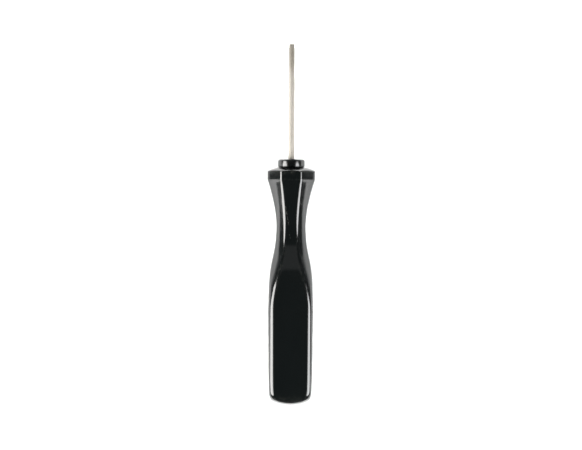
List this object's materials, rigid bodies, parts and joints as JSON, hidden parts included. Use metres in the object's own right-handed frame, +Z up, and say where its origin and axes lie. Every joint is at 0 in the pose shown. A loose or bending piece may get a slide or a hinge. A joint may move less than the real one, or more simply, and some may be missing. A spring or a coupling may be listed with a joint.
{
  "type": "spring bar tool",
  "caption": "Small hand tool with a thin forked steel blade, a turned collar and a waisted glossy black handle, for pushing watch spring bars in and out.",
  "frame": {"origin": "on the bench that the tool lies on, midway between the blade's tip and the handle's butt", "axes": "+Y along the tool towards the blade's tip, +Z up from the bench, +X across the tool"},
  "size_m": [0.011, 0.0832, 0.0109],
  "materials": {
    "handle_plastic": "gloss, hard moulded, with faint draw lines and handling scuffs",
    "collar_plastic": "polished black",
    "blade_steel": "drawn rod, with a darker ground tip"
  },
  "bodies": {
    "root": {"handle": "handle_plastic", "nose_collar": "collar_plastic", "blade": "blade_steel"}
  },
  "joints": []
}
